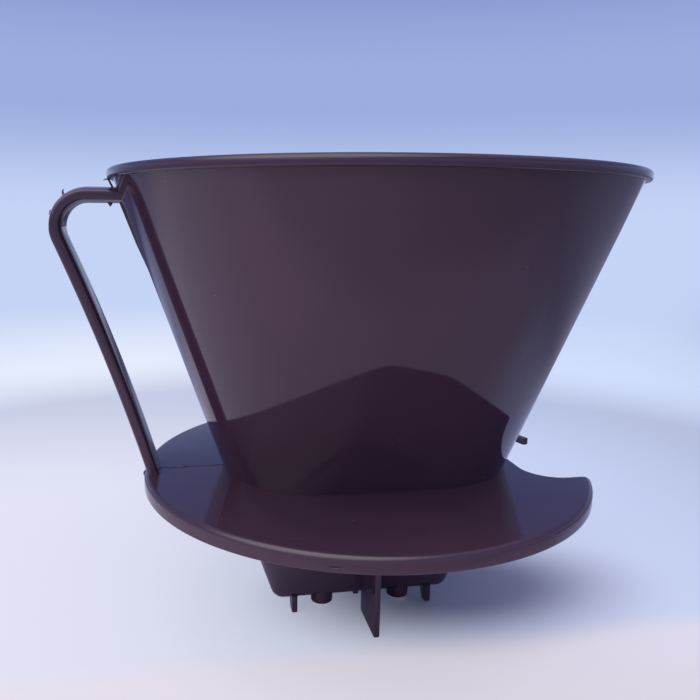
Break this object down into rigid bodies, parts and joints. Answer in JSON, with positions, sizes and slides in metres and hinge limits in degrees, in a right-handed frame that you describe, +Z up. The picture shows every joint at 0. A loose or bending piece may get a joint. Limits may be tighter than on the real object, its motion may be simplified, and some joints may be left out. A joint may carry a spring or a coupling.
{
  "type": "coffee filter holder",
  "caption": "Plastic cone that holds a paper coffee filter over a pot, with a strap handle, a round base plate with a viewing notch, and locating fins and drip nozzles below.",
  "frame": {"origin": "centre of the footprint box, at the level of the fin tips it stands on", "axes": "+Z up along the cone's axis, -X towards the handle, +X towards the viewing notch"},
  "size_m": [0.1662, 0.15, 0.1375],
  "materials": {
    "brown_plastic": "glossy dark brown moulded plastic"
  },
  "bodies": {
    "root": {"filter_holder": "brown_plastic"}
  },
  "joints": []
}
